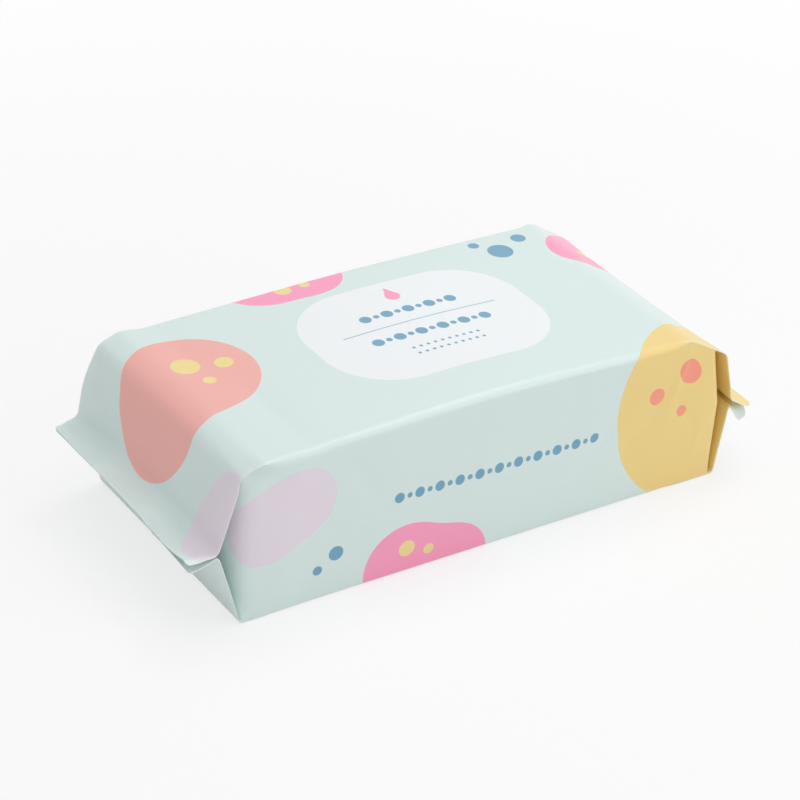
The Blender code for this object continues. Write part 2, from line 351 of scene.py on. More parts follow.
class Film:
    """The film round one end of the block, from the pack's middle out to the fin's tip."""

    def __init__(self, end, sizes):
        self.end = end
        self.front_lifts = {UPPER: end.upper_lift, LOWER: end.lower_lift}
        self.back_lifts = {UPPER: end.back_upper_lift, LOWER: end.back_lower_lift}
        self.show_front(True)
        self.height = sizes.height
        self.lip = sizes.lip
        self.half_width = sizes.width / 2
        self.gusset_depth = sizes.height / 2
        foot = sizes.length / 2
        seam_x = foot + end.seam_reach
        self.seam_base = Vector((seam_x, sizes.height / 2 - SEAM_SAG))
        self.fin_way = Vector((math.cos(end.fin_droop), -math.sin(end.fin_droop)))
        self.fin_up = Vector((math.sin(end.fin_droop), math.cos(end.fin_droop)))
        self.shoulder_x = foot + end.shoulder_start
        upper = [
            Vector((0.0, sizes.height)),
            Vector((self.shoulder_x, sizes.height)),
            Vector((foot + end.shoulder_reach, sizes.height - end.shoulder_drop)),
            self.fin_point(SEAM, UPPER, 0.0, end.upper_lift),
            self.fin_point(TIP, UPPER, 0.0, end.upper_lift),
        ]
        lower = [
            Vector((0.0, 0.0)),
            Vector((foot, 0.0)),
            self.fin_point(SEAM, LOWER, 0.0, end.lower_lift),
            self.fin_point(TIP, LOWER, 0.0, end.lower_lift),
        ]
        tip = self.seam_base + self.fin_way * end.fin_length
        inner = self.gusset_depth - self.half_width
        pocket = [
            Vector((0.0, -self.half_width)),
            Vector((foot, -self.half_width)),
            Vector((seam_x, inner)),
            Vector((tip.x, inner)),
        ]
        depth = self.gusset_depth
        crisp = [end.shoulder_radius, end.brow_radius, FLAP_BEND_RADIUS]
        soft = [SOFT_SHOULDER_RADIUS, SOFT_SHOULDER_RADIUS, SOFT_BEND_RADIUS]
        self.edges = {
            UPPER: Path(upper, crisp, 3, depth - end.late_fold),
            LOWER: Path(lower, [FOOT_END_RADIUS, FLAP_BEND_RADIUS], 2, depth),
        }
        self.middles = {
            UPPER: Path(upper, soft, 3, depth - end.late_fold),
            LOWER: Path(lower, [FOOT_END_RADIUS, SOFT_BEND_RADIUS], 2, depth),
        }
        self.pocket = Path(pocket, [end.pocket_radius, self.lip / 2], 2, depth)

    def show_front(self, front):
        """Choose the corners of the fin: the front ones or the calmer back ones."""
        self.lifts = self.front_lifts if front else self.back_lifts
        self.corner_drop = self.end.corner_drop if front else 0.0

    def fin_point(self, stage, level, share, lift):
        """Outer surface of the fin in side view, at a share of the gusset's depth.

        Its round corners curl away from each other, which fades out inwards.
        """
        out = clamp(stage - SEAM)
        radius = self.end.fin_corner
        from_arc = radius - min(radius, self.gusset_depth * share)
        corner = radius - math.sqrt(radius ** 2 - from_arc ** 2)
        along = self.fin_way * (self.end.fin_length * (stage - SEAM) - corner * out ** 3)
        curl = lift * out * (1 - share) ** self.end.split_fade
        slit = level * (self.lip + SLIT / 2 * (1 - share * out))
        return self.seam_base + along + self.fin_up * (slit + curl)

    def crown(self, x):
        return 1 - smooth(abs(x) / self.shoulder_x)

    def panel(self, level, stage, share, y):
        """Outer surface of the top or bottom in side view, and its outward normal."""
        point, way = self.edges[level].at(stage)
        softness = smooth((self.half_width - abs(y)) / SOFTENS_OVER)
        if softness:
            soft_point, soft_way = self.middles[level].at(stage)
            point = point.lerp(soft_point, softness)
            way = way.lerp(soft_way, softness).normalized()
        if stage > SEAM:
            on_path = self.fin_point(stage, level, 0.0, self.front_lifts[level])
            point = point + self.fin_point(stage, level, share, self.lifts[level]) - on_path
            out = stage - SEAM
            if level == LOWER:
                # The lower layer falls away early from the fin's root
                early = (out ** EARLY_SAG - out) * (1 - share) ** self.end.split_fade
                point = point + self.fin_up * self.lifts[LOWER] * early
            elif share < CORNER_FACET * out:
                # The fin's front corner is bent down along a crease from its root
                bent = self.corner_drop * (out - share / CORNER_FACET)
                point = point - self.fin_up * bent
        normal = Vector((-way.y, way.x)) * level
        if level == UPPER and stage <= SEAM:
            point = point + Vector((0.0, TOP_CROWN * self.crown(point.x)))
        return point + self.ripple(level, stage, y), normal

    def ripple(self, level, stage, y):
        """Soft unevenness of the flaps and fins, alike in both layers that lie together."""
        start = FOLD if level == UPPER else FOLD + LOWER_RIPPLE_DELAY
        out = smooth((stage - start) / (SEAM - start))
        seed = Vector((
            y * RIPPLE_PER_METRE, stage * RIPPLE_PER_STAGE, RIPPLE_SEED * self.end.side))
        return self.fin_up * waves(seed, RIPPLE_DEPTHS, RIPPLE_FINENESS) * out

    def edge_radius(self, level, stage):
        """Radius of a long edge, which sharpens to the film's own fold towards the ends."""
        sharpening = smooth((stage - self.end.sharp_from) / EDGE_SHARPENS_OVER)
        return EDGE_RADII[level] + (self.lip / 2 - EDGE_RADII[level]) * sharpening

    def column_y(self, level, stage, share):
        """Distance from the middle of the pack, from the rounded edge in to the gusset's end."""
        radius = self.edge_radius(level, stage)
        return radius + (self.gusset_depth - radius) * share - self.half_width

    def edge(self, level, stage, share):
        """Point on the rounded edge between the top or bottom and the side."""
        radius = self.edge_radius(level, stage)
        point, normal = self.panel(level, stage, 0.0, -self.half_width)
        turning = 1 + smooth((stage - FOLD) * FLAP_ROWS / FULL_FOLD_ROWS)
        sweep = math.pi / 2 * turning * share
        turned = point - normal * radius * (1 - math.cos(sweep))
        y = radius - self.half_width - radius * math.sin(sweep)
        return Vector((turned.x, y, turned.y))

    def under(self, level, stage, share):
        """Film folded back under a flap or a fin's outer layer."""
        y = self.column_y(level, stage, share)
        point, normal = self.panel(level, stage, share, y)
        under = point - normal * self.lip
        return Vector((under.x, y, under.y))

    def gusset(self, level, stage, share):
        """Point on the side panel, and on the pocket that it folds into beyond the block."""
        tuck = clamp(stage - FOLD)
        crease, _ = self.pocket.at(stage)
        deepest = Vector((crease.x, crease.y, self.seam_base.y))
        if stage > SEAM:
            rest = self.seam_base + self.fin_way * self.end.fin_length * (stage - SEAM)
            deepest = Vector((rest.x, crease.y, rest.y))
        if tuck > 0.0:
            shift = self.ripple(UPPER, stage, crease.y) * tuck
            deepest = deepest + Vector((shift.x, 0.0, shift.y))
        if share >= 1.0:
            return deepest + self.bulge(deepest, share) * (1 - tuck)
        if tuck > 0.0 and share <= tuck:
            return self.under(level, stage, share)
        start = self.under(level, stage, tuck) if tuck else self.edge(level, stage, 1.0)
        point = start.lerp(deepest, (share - tuck) / (1 - tuck))
        return point + self.bulge(point, share) * (1 - tuck)

    def rounded_gusset(self, level, stage, share):
        """A point of the side, averaged along the pack so that it turns softly into the pocket."""
        tuck = clamp(stage - FOLD)
        reach = self.end.side_rounding * smooth((share - tuck) / GUSSET_ROUNDING_FADE)
        if abs(stage - FOLD) > GUSSET_ROUNDING_SPAN or reach < LEAST_ROUNDING:
            return self.gusset(level, stage, share)
        total, weights = Vector(), 0.0
        for step in range(-ROUNDING_SAMPLES, ROUNDING_SAMPLES + 1):
            weight = ROUNDING_SAMPLES + 1 - abs(step)
            near = self.shifted_stage(stage, reach * step / ROUNDING_SAMPLES)
            total += self.gusset(level, near, share) * weight
            weights += weight
        return total / weights

    def shifted_stage(self, stage, shift):
        """The stage that lies a distance further along the film, on the block or the flap."""
        block = self.pocket.distance(FOLD)
        distance = self.pocket.distance(stage) + shift
        if distance <= block:
            return distance / block
        return FOLD + (distance - block) / self.pocket.gusset_depth

    def bulge(self, point, share):
        swell = SIDE_BULGE * self.crown(point.x) * math.sin(share * math.pi / 2)
        return Vector((0.0, -swell, 0.0))

    def point(self, stage, column):
        """Place of one point of the film, on the front half, with X outwards."""
        level, zone, share = column
        if zone == "gusset":
            return self.rounded_gusset(level, stage, share)
        if zone == "edge":
            return self.edge(level, stage, share)
        if zone == "panel":
            y = self.column_y(level, stage, share)
            depth = share
        else:
            y = (self.gusset_depth - self.half_width) * share
            depth = 1.0
        point, _ = self.panel(level, stage, depth, y)
        height = point.y
        if level == UPPER:
            dome = 1 - abs(y / self.half_width) ** DOME_POWER
            height += TOP_DOME * self.crown(point.x) * dome
        return Vector((point.x, y, height))

    def print_place(self, stage, column):
        """Place on the flat film: distance along it, and round it from the top's middle."""
        level, zone, share = column
        along = self.edges[UPPER].distance(stage)
        radius = self.edge_radius(level, stage)
        if zone == "middle":
            around = (self.half_width - self.gusset_depth) * share
        elif zone == "panel":
            around = self.half_width - radius - (self.gusset_depth - radius) * share
        elif zone == "edge":
            around = self.half_width - radius + 2 * radius * share
        else:
            around = self.half_width + radius + (self.gusset_depth - radius) * share
        if level == LOWER:
            around = 2 * self.half_width + self.height - around
        return along * self.end.side, around


def half_columns():
    """Columns from the middle of the underside, round the front, to the top's middle."""
    flap = shares(FLAP_ROWS)
    middle = shares(MIDDLE_COLUMNS)[:-1]
    edge = shares(EDGE_SEGMENTS)[1:-1]
    lower = (("middle", middle), ("panel", flap[::-1]), ("edge", edge), ("gusset", flap))
    upper = (("gusset", flap[-2::-1]), ("edge", edge[::-1]), ("panel", flap),
             ("middle", middle[::-1]))
    columns = [Column(LOWER, zone, share) for zone, steps in lower for share in steps]
    return columns + [Column(UPPER, zone, share) for zone, steps in upper for share in steps]


def end_stages():
    """Stages of the film's rows from the pack's middle to the tip of one fin."""
    body = [1 - (1 - share) ** BODY_ROW_CROWDING for share in shares(BODY_ROWS)[1:]]
    flap = [FOLD + share for share in shares(FLAP_ROWS)[1:]]
    return body + flap + [SEAM + share for share in shares(FIN_ROWS)[1:]]


def film_rows(sizes):
    """Every row of the film, from the left fin's tip to the right fin's tip."""
    left, right = Film(LEFT_END, sizes), Film(RIGHT_END, sizes)
    stages = end_stages()
    rows = [(left, stage) for stage in reversed(stages)]
    rows.append((right, 0.0))
    return rows + [(right, stage) for stage in stages]


# A press ends where its push has faded to about a ten-thousandth
PRESS_END = 9
PRESS_TURNS = [
    (math.cos(math.radians(press.tilt)), math.sin(math.radians(press.tilt)))
    for press in PRESSES
]


def pressed(point):
    """A point of the film after all presses, lifted on to the seam that lies under the pack."""
    moved = point.copy()
    for press, (cos, sin) in zip(PRESSES, PRESS_TURNS):
        offset = [at - centre * MM for at, centre in zip(point, press.centre)]
        along = offset[0] * cos + offset[2] * sin
        across = offset[2] * cos - offset[0] * sin
        parts = (along, offset[1], across)
        ways = [abs(part) / (reach * MM) for part, reach in zip(parts, press.reach)]
        if press.crisp:
            ways[2] = math.sqrt(ways[2])
        fall = sum(way * way for way in ways)
        if fall < PRESS_END:
            moved += Vector(press.push) * MM * math.exp(-fall)
    footing = smooth(point.z / FOOTING_FADE)
    moved.z = point.z + (moved.z - point.z) * footing + SEAM_LAYER * (1 - footing)
    return moved


def unevenness(point, height):
    """How far a side panel's point lies inwards through the film's faint unevenness."""
    seed = Vector((
        point.x * PANEL_WAVES_PER_METRE, math.copysign(PANEL_WAVE_SEED, point.y),
        point.z * PANEL_WAVES_PER_METRE))
    depth = waves(seed, PANEL_WAVE_DEPTHS, PANEL_WAVE_FINENESS)
    rise, fall = point.z / PANEL_WAVE_FOOT, (height - point.z) / PANEL_WAVE_HEAD
    return depth * smooth(rise) * smooth(fall)


def half_ring(film, stage, columns, places, half):
    """Points of one row's front half (1) or back half (-1), from their places on the front."""
    fade = 1 - smooth((stage - PANEL_CALMS_FROM) / PANEL_CALMS_OVER)
    points = []
    for column, place in zip(columns, places):
        point = Vector((place.x * film.end.side, place.y * half, place.z))
        if column.zone == "gusset" and stage <= FOLD:
            point.y += half * unevenness(point, film.height) * fade
        points.append(pressed(point))
    return points


def ring(film, stage, columns):
    """All points of one row: the front half, then the back half on to the underside."""
    front = back = [film.point(stage, column) for column in columns]
    if stage > SEAM:
        film.show_front(False)
        back = [film.point(stage, column) for column in columns]
        film.show_front(True)
    far = half_ring(film, stage, columns, back, -1)
    return half_ring(film, stage, columns, front, 1) + far[-2:0:-1]


def on_edge(column):
    """Whether a column lies on a long edge, between the panel and the gusset."""
    return column.zone == "edge" or (column.zone != "middle" and column.share == 0.0)


def fin_faces(columns):
    """Faces, as lists of columns, that close the tip of a fin's front half.

    The film lies in two pairs of layers as deep as the gusset, and in one pair in the middle.
    """
    depths = shares(FLAP_ROWS)
    crease = Column(LOWER, "gusset", 1.0)
    for level in (UPPER, LOWER):
        for outer, inner in zip(depths, depths[1:]):
            deeper = crease if inner == 1.0 else Column(level, "gusset", inner)
            yield [Column(level, "panel", outer), Column(level, "panel", inner), deeper,
                   Column(level, "gusset", outer)]
        yield [column for column in columns if column.level == level and on_edge(column)]
    middle = shares(MIDDLE_COLUMNS)[:-1]
    for inner, outer in zip(middle, middle[1:]):
        yield [Column(UPPER, "middle", inner), Column(UPPER, "middle", outer),
               Column(LOWER, "middle", outer), Column(LOWER, "middle", inner)]
    yield [Column(UPPER, "middle", middle[-1]), Column(UPPER, "panel", 1.0), crease,
           Column(LOWER, "panel", 1.0), Column(LOWER, "middle", middle[-1])]


def close_fin(sheet, loop, places, columns):
    """Close the open tip of a fin; the back half's columns run the other way round the loop."""
    order = {column: index for index, column in enumerate(columns)}
    for turn in (1, -1):
        for face in fin_faces(columns):
            picked = [turn * order[column] % len(loop) for column in face]
            made = sheet.mesh.faces.new([loop[index] for index in picked])
            for corner, index in zip(made.loops, picked):
                corner[sheet.print_map].uv = places[index]


def fold_wear(film, stage, column):
    """How worn a point of the film is by a sharp fold, from 0 to 1; the same value paints a
    highlight on the fold's crest.
    """
    if not on_edge(column):
        return 0.0
    return smooth((stage - film.end.sharp_from) / EDGE_SHARPENS_OVER)


def slackness(stage):
    """How loose the film is, from the taut block to the loose flaps and fins."""
    return LEAST_SLACK + (1 - LEAST_SLACK) * smooth((stage - SLACK_FROM) / SLACK_OVER)


class Sheet:
    """A flat grid of film in a bmesh, with the layers that the printed film's material reads."""

    def __init__(self, rows, columns):
        self.mesh = bmesh.new()
        self.print_map = self.mesh.loops.layers.uv.new("film_print")
        layers = self.mesh.verts.layers.float
        self.wear, self.slack, self.crimp = (
            layers.new(name) for name in ("fold_wear", "slack", "crimp"))
        bmesh.ops.create_grid(self.mesh, x_segments=rows, y_segments=columns, size=0.5)
        self.grid = {}
        for vertex in self.mesh.verts:
            row = round((vertex.co.x + 0.5) * rows)
            self.grid[row, round((vertex.co.y + 0.5) * columns)] = vertex

    def mark(self, vertex, place, wear, slack, crimp):
        """Give a point its place on the flat print and its values for the material."""
        for corner in vertex.link_loops:
            corner[self.print_map].uv = place
        vertex[self.wear], vertex[self.slack], vertex[self.crimp] = wear, slack, crimp


def film_wrap_mesh(sizes):
    """The film as a flat grid, moved point by point to its place on the wrapped pack."""
    columns = half_columns()
    rows = film_rows(sizes)
    half = len(columns)
    around = 2 * half - 2
    mirror = columns + columns[-2::-1]
    sheet = Sheet(len(rows) - 1, around)
    mesh, grid = sheet.mesh, sheet.grid
    rings = [ring(film, stage, columns) for film, stage in rows]
    places = []
    for film, stage in rows:
        flat = [film.print_place(stage, column) for column in mirror]
        places.append(flat[:half] + [(along, -across) for along, across in flat[half:]])
    for (row, column), vertex in grid.items():
        film, stage = rows[row]
        # Paleness of sharp folds: partly stress whitening of the film, partly a painted highlight
        # on the crest
        wear = fold_wear(film, stage, mirror[column])
        crimp = smooth((stage - SEAM) / CRIMP_OVER)
        sheet.mark(vertex, places[row][column], wear, slackness(stage), crimp)
        vertex.co = rings[row][column % around]
    join = {grid[row, around]: grid[row, 0] for row in range(len(rows))}
    bmesh.ops.weld_verts(mesh, targetmap=join)
    for row in (0, len(rows) - 1):
        loop = [grid[row, column] for column in range(around)]
        close_fin(sheet, loop, places[row], columns)
    bmesh.ops.recalc_face_normals(mesh, faces=mesh.faces)
    return mesh


def back_seam_mesh(sizes):
    """The seam that closes the film: a strip folded flat along the underside and up both ends."""
    rows = film_rows(sizes)
    sheet = Sheet(len(rows) - 1, SEAM_COLUMNS)
    mesh = sheet.mesh
    for (row, column), vertex in sheet.grid.items():
        film, stage = rows[row]
        across = column / SEAM_COLUMNS * sizes.seam_width
        point, normal = film.panel(LOWER, stage, 1.0, -across)
        place = Vector((point.x * film.end.side, across, point.y))
        outward = Vector((normal.x * film.end.side, 0.0, normal.y))
        vertex.co = pressed(place) + outward * SEAM_LAYER
        # Its print is taken beyond the underside's, where the ground is plain
        along = film.edges[UPPER].distance(stage) * film.end.side
        sheet.mark(vertex, (along, across + 3 * sizes.width), 0.0, SEAM_SLACK, 1.0)
    bmesh.ops.recalc_face_normals(mesh, faces=mesh.faces)
    lowest = min(mesh.faces, key=lambda face: face.calc_center_median().z)
    if lowest.normal.z > 0:
        bmesh.ops.reverse_faces(mesh, faces=mesh.faces)
    bmesh.ops.solidify(mesh, geom=list(mesh.faces), thickness=SEAM_THICKNESS)
    bmesh.ops.recalc_face_normals(mesh, faces=mesh.faces)
    return mesh


def object_from(mesh, name, material):
    """A smooth object at the origin from a bmesh, which it uses up."""
    data = bpy.data.meshes.new(name)
    mesh.to_mesh(data)
    mesh.free()
    data.materials.append(material)
    data.shade_smooth()
    data.set_sharp_from_angle(angle=SHARP_ANGLE)
    piece = bpy.data.objects.new(name, data)
    bpy.context.scene.collection.objects.link(piece)
    return piece


def add_node(tree, kind, inputs=None, **settings):
    """One node with its settings; an input is a value or the socket that feeds it."""
    node = tree.nodes.new(kind)
    for name, value in settings.items():
        setattr(node, name, value)
    for key, value in (inputs or {}).items():
        if isinstance(value, bpy.types.NodeSocket):
            tree.links.new(value, node.inputs[key])
        else:
            node.inputs[key].default_value = value
    return node


def math_of(tree, operation, *values):
    node = add_node(tree, "ShaderNodeMath", dict(enumerate(values)), operation=operation)
    return node.outputs[0]


def chain_of(tree, operation, first, *others):
    """Several values joined two at a time, as in a sum or a product."""
    for other in others:
        first = math_of(tree, operation, first, other)
    return first


def vector_of(tree, operation, *values, output=0):
    node = add_node(tree, "ShaderNodeVectorMath", dict(enumerate(values)), operation=operation)
    return node.outputs[output]


def noise_of(tree, place, scale, detail, roughness, **settings):
    node = add_node(tree, "ShaderNodeTexNoise", {
        "Vector": place, "Scale": scale, "Detail": detail, "Roughness": roughness}, **settings)
    return node.outputs[0]


def range_of(tree, value, low, high, to_low, to_high, **settings):
    node = add_node(tree, "ShaderNodeMapRange", {
        "Value": value, "From Min": low, "From Max": high, "To Min": to_low, "To Max": to_high,
    }, **settings)
    return node.outputs["Result"]


def mix_of(tree, factor, first, second):
    """Two colours mixed; each is a value or the socket that feeds it."""
    inputs = {"Factor": factor, "A": first, "B": second}
    return add_node(tree, "ShaderNodeMix", inputs, data_type="RGBA").outputs["Result"]


PRINT_EDGE = 0.12 * MM


def mask_of(tree, distance):
    """1 inside a shape and 0 outside, from the distance to its outline in metres."""
    return range_of(tree, distance, -PRINT_EDGE, PRINT_EDGE, 1.0, 0.0)


def pebble(tree, place, circles, softness):
    """Outline distance of circles that melt into one rounded pebble; all values in mm."""
    outline = None
    for along, across, radius in circles:
        centre = (along * MM, across * MM, 0.0)
        reach = vector_of(tree, "DISTANCE", place, centre, output=1)
        circle = math_of(tree, "SUBTRACT", reach, radius * MM)
        outline = circle if outline is None else math_of(
            tree, "SMOOTH_MIN", outline, circle, softness * MM)
    return outline


def rounded_box(tree, place, centre, half_sizes, radius):
    """Outline distance of a rectangle with round corners; all values in mm."""
    shifted = vector_of(tree, "SUBTRACT", place, (centre[0] * MM, centre[1] * MM, 0.0))
    folded = vector_of(tree, "ABSOLUTE", shifted)
    inner = tuple((half - radius) * MM for half in half_sizes) + (0.0,)
    beyond = vector_of(tree, "MAXIMUM", vector_of(tree, "SUBTRACT", folded, inner), (0, 0, 0))
    return math_of(tree, "SUBTRACT", vector_of(tree, "LENGTH", beyond, output=1), radius * MM)


def mark_row(tree, place, centre, half_length, pitch, radius):
    """Outline distance of a row of like round marks; all values in mm."""
    parts = add_node(tree, "ShaderNodeSeparateXYZ", {0: place})
    along = math_of(tree, "SUBTRACT", parts.outputs["X"], (centre[0] - half_length) * MM)
    turns = math_of(tree, "DIVIDE", along, pitch * MM)
    step = math_of(tree, "MULTIPLY", math_of(tree, "FRACT", turns), pitch * MM)
    across = math_of(tree, "SUBTRACT", parts.outputs["Y"], centre[1] * MM)
    cell = add_node(tree, "ShaderNodeCombineXYZ", {"X": step, "Y": across})
    mark = rounded_box(tree, cell.outputs[0], (pitch / 2, 0.0), (radius, radius), radius)
    row = rounded_box(tree, place, centre, (half_length, radius + 1), radius + 1)
    return math_of(tree, "MAXIMUM", mark, row)


# Print on the flat film, in mm: along the pack, and round it from the top's middle to the front.
# Each pebble is made of circles, given by their centre and radius, and so are the dots.
PEBBLES = (
    ("lilac", (
        ((-90, 76, 14), (-76, 70, 13)),
        ((34, -80, 17), (54, -86, 14)),
        ((-124, 44, 12), (-110, 48, 10)),
    )),
    ("yellow", (
        ((94, 76, 42), (124, 52, 30), (106, 96, 23)),
        ((-44, -116, 18), (-64, -108, 14)),
    )),
    ("salmon", (
        ((-86, -12, 25), (-106, -4, 22)),
        ((30, 132, 18), (50, 140, 13)),
    )),
    ("pink", (
        ((-32, -56, 17), (-16, -52, 14)),
        ((-16, 112, 15), (-34, 108, 17)),
        ((104, -34, 15), (90, -28, 12)),
    )),
)
DOTS = (
    ("coral", ((84, 63, 5.2), (69, 70, 3.4), (80, 79, 2.2))),
    ("butter", (
        (-84, -18, 5.2), (-71, -14, 3.4), (-81, -6, 2.4),
        (-34, 101, 3.2), (-25, 104, 2.1), (-28, -47, 3.2), (-19, -47, 2.0), (96, -30, 2.8),
    )),
    ("blue", (
        (60, -36, 5.0), (72, -42, 3.0), (53, -44, 2.2),
        (-62, 94, 2.8), (-69, 99, 1.8), (70, -100, 4.0), (79, -94, 2.4),
    )),
)
LABEL_DROP = ((4, -23.5, 2.9), (4, -26.2, 1.7), (4, -28.2, 0.8), (4, -29.4, 0.3))
# How far the circles of one shape melt into each other
PEBBLE_SOFTNESS, DOT_SOFTNESS, DROP_SOFTNESS = 14, 0.1, 1.2
# Boxes with round corners: centre, half sizes and corner radius
LABEL = ((4, -2), (45, 32), 26)
LABEL_RULE = ((4, -5), (32, 0.2), 0.2)
# Rows of round marks: centre, half the row's length, pitch and the marks' radius
MARK_ROWS = (
    ((4, -13), 22.5, 9, 2.3), ((4, -13), 18, 9, 1.2), ((4, 3), 27, 9, 2.3),
    ((4, 3), 22.5, 9, 1.2), ((4, 12), 15, 3, 0.65), ((4, 16), 15, 3, 0.65),
    ((2, 79), 44, 8, 1.9), ((2, 79), 40, 8, 1.0),
)


def print_colour(tree, place, colours):
    """Colour of the print at a place on the flat film: fields laid over the ground in turn."""
    layers = [
        (name, [pebble(tree, place, shape, PEBBLE_SOFTNESS) for shape in shapes])
        for name, shapes in PEBBLES
    ]
    layers += [(name, [pebble(tree, place, dots, DOT_SOFTNESS)]) for name, dots in DOTS]
    rule = rounded_box(tree, place, *LABEL_RULE)
    layers += [
        ("white", [rounded_box(tree, place, *LABEL)]),
        ("blue", [rule] + [mark_row(tree, place, *row) for row in MARK_ROWS]),
        ("pink", [pebble(tree, place, LABEL_DROP, DROP_SOFTNESS)]),
    ]
    colour = (*colours.mint, 1.0)
    for name, outlines in layers:
        mask = chain_of(tree, "MAXIMUM", *[mask_of(tree, outline) for outline in outlines])
        colour = mix_of(tree, mask, colour, (*getattr(colours, name), 1.0))
    return colour


# Finish of the film: how far sharp folds pale towards white, as stress whitening with a painted
# highlight, and how narrow that band is; depths and pitches of its relief, and how often each
# noise varies
FOLD_PALENESS, FOLD_NARROWNESS = 0.55, 3.0
STREAKS_PER_METRE, STREAK_CONTRAST, STREAK_ROUGHNESS = 240.0, (0.3, 0.7), (0.34, 0.42)
WRINKLES_PER_METRE, WRINKLE_DEPTH = 70.0, 0.16 * MM
RIB_PITCH, RIB_DEPTH = 1.3 * MM, 0.006 * MM
TENSION_PER_METRE, TENSION_DEPTH = (50.0, 650.0, 0.0), 0.03 * MM
GRAIN_PER_METRE, GRAIN_DEPTH = 800.0, 0.006 * MM


def film_relief(tree, place, object_place):
    """Height of the film's fine relief, in metres."""
    # Soft creases about 14 mm apart, deepest where the film is slack
    slack = add_node(tree, "ShaderNodeAttribute", attribute_name="slack").outputs["Fac"]
    creases = noise_of(
        tree, object_place, WRINKLES_PER_METRE, 1.5, 0.5, noise_type="RIDGED_MULTIFRACTAL")
    relief = chain_of(tree, "MULTIPLY", creases, slack, WRINKLE_DEPTH)
    # Ribs that the heated jaws press into the fins and the seam
    crimp = add_node(tree, "ShaderNodeAttribute", attribute_name="crimp").outputs["Fac"]
    along = add_node(tree, "ShaderNodeSeparateXYZ", {0: place}).outputs["X"]
    rib = math_of(tree, "SINE", math_of(tree, "MULTIPLY", along, 2 * math.pi / RIB_PITCH))
    ribs = chain_of(tree, "MULTIPLY", rib, crimp, RIB_DEPTH)
    # Tension lines about 1.5 mm apart, which run down the loose end flaps
    drawn = vector_of(tree, "MULTIPLY", place, TENSION_PER_METRE)
    lines = noise_of(tree, drawn, 1.0, 2.0, 0.5)
    tension = chain_of(tree, "MULTIPLY", lines, slack, TENSION_DEPTH)
    # Orange peel of the film, about 1.2 mm apart
    peel = noise_of(tree, object_place, GRAIN_PER_METRE, 2.0, 0.5)
    grain = math_of(tree, "MULTIPLY", peel, GRAIN_DEPTH)
    return chain_of(tree, "ADD", relief, ribs, grain, tension)


def printed_film_material(colours):
    """Matt-laminated polypropylene film, gravure printed.

    A satin skin over flat inks: soft broad highlights, and paler where it is folded hard, partly
    from stress whitening and partly as a painted highlight.
    """
    material = bpy.data.materials.new("printed_film")
    material.use_nodes = True
    tree = material.node_tree
    shader = tree.nodes["Principled BSDF"]
    place = add_node(tree, "ShaderNodeUVMap", uv_map="film_print").outputs["UV"]
    wear = add_node(tree, "ShaderNodeAttribute", attribute_name="fold_wear").outputs["Fac"]
    # Sharp folds are paled towards the label's white: stress whitening of the film with a painted
    # highlight on the crest
    narrow = math_of(tree, "POWER", wear, FOLD_NARROWNESS)
    crest = math_of(tree, "MULTIPLY", narrow, FOLD_PALENESS)
    colour = mix_of(tree, crest, print_colour(tree, place, colours), (*colours.white, 1.0))
    tree.links.new(colour, shader.inputs["Base Color"])
    object_place = add_node(tree, "ShaderNodeTexCoord").outputs["Object"]
    # Faint streaks of the laminate, about 4 mm apart
    streaks = noise_of(tree, object_place, STREAKS_PER_METRE, 3.0, 0.55)
    rough = range_of(tree, streaks, *STREAK_CONTRAST, *STREAK_ROUGHNESS)
    tree.links.new(rough, shader.inputs["Roughness"])
    bump = add_node(tree, "ShaderNodeBump", {
        "Height": film_relief(tree, place, object_place), "Strength": 1.0, "Distance": 1.0})
    tree.links.new(bump.outputs["Normal"], shader.inputs["Normal"])
    shader.inputs["IOR"].default_value = 1.49
    # The film is thin enough for some light to pass through a flap
    shader.inputs["Subsurface Weight"].default_value = 0.25
    shader.inputs["Subsurface Radius"].default_value = (1.0, 0.85, 0.75)
    shader.inputs["Subsurface Scale"].default_value = 1.0 * MM
    shader.inputs["Coat Weight"].default_value = 0.12
    shader.inputs["Coat Roughness"].default_value = 0.28
    return material


class TOWELPACK_OT_add_film_wrap(bpy.types.Operator):
    """Model the film wrapped round the block of towels, with its gussets and end fins"""
    bl_idname = "towelpack.add_film_wrap"
    bl_label = "Add Film Wrap"

    def execute(self, context):
        scene = context.scene
        mesh = film_wrap_mesh(scene.towel_wrap_sizes)
        material = printed_film_material(scene.towel_wrap_colours)
        wrap = object_from(mesh, "film_wrap", material)
        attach(wrap, "root")
        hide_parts(PACK_NODE)
        return {"FINISHED"}


class TOWELPACK_OT_add_back_seam(bpy.types.Operator):
    """Model the seam that closes the film under the pack"""
    bl_idname = "towelpack.add_back_seam"
    bl_label = "Add Back Seam"

    def execute(self, context):
        mesh = back_seam_mesh(context.scene.towel_wrap_sizes)
        material = bpy.data.objects["film_wrap"].data.materials[0]
        seam = object_from(mesh, "back_seam", material)
        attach(seam, "root")
        return {"FINISHED"}


class Lamp(NamedTuple):
    """A square soft lamp: its place and size in metres, and its power in watts."""
    name: str
    place: tuple
    size: float
    power: float


LAMPS = (
    Lamp("overhead_softbox", (0.10, 0.05, 1.1), 1.0, 3.7),
    Lamp("edge_softbox", (0.5, 0.22, 0.96), 0.35, 1.4),
    Lamp("front_softbox", (0.75, -0.9, 0.7), 0.8, 3.7),
    Lamp("fill_softbox", (-0.65, -1.1, 0.6), 0.8, 1.3),
)
LAMP_TARGET = Vector((0.0, 0.0, 0.03))

# The floor's own glow, from its share near the pack to its share further off
GLOW_FROM, GLOW_TO = 0.14, 0.6
NEAR_GLOW, FAR_GLOW = 0.7, 1.0


class StageSettings(bpy.types.PropertyGroup):
    """Floor, lamps and world."""
    floor_size: length_property("Floor size", "Side of the square floor", 12.0)
    world_strength: FloatProperty(
        name="World strength", description="Brightness of the even surrounding light",
        default=0.5)
    lens: FloatProperty(
        name="Lens", description="Focal length of the camera in millimetres", default=123.9)


